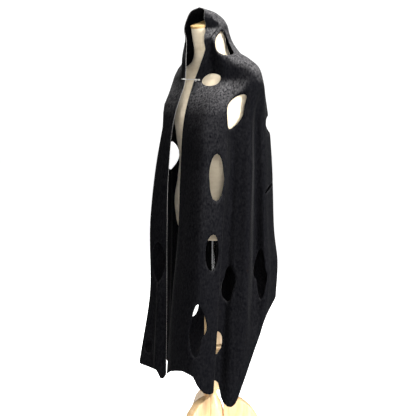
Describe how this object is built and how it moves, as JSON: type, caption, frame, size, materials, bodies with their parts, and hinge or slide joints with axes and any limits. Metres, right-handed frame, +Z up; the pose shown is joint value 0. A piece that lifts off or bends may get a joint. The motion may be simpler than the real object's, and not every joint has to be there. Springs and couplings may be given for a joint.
{
  "type": "hooded wool cape and dress form stand",
  "caption": "Long hooded cape of thick black felted wool with round cut-outs, worn open over a limbless dress form on a turned wooden stand.",
  "frame": {"origin": "middle of the bounding box at floor level, close to the stand's axis", "axes": "+Z up from the floor to the hood, -Y towards the cape's front opening, +X towards the wearer's left"},
  "size_m": [0.5723, 0.5383, 1.606],
  "materials": {
    "black_wool": "matte, napped",
    "steel_pin": "satin",
    "black_leather": "smooth",
    "linen": "matte",
    "gilt_wood": "satin",
    "chrome": "polished",
    "light_wood": "satin varnish"
  },
  "bodies": {
    "root": {"hood_left": "black_wool", "hood_right": "black_wool", "cape_left": "black_wool", "cape_right": "black_wool", "pin_bar": "steel_pin", "pin_ring": "steel_pin", "pin_tab": "black_leather", "form_torso": "linen", "neck_cap": "gilt_wood", "stand_rod": "chrome", "stand_column": "light_wood", "stand_hub": "light_wood", "stand_leg_1": "light_wood", "stand_leg_2": "light_wood", "stand_leg_3": "light_wood"}
  },
  "joints": []
}
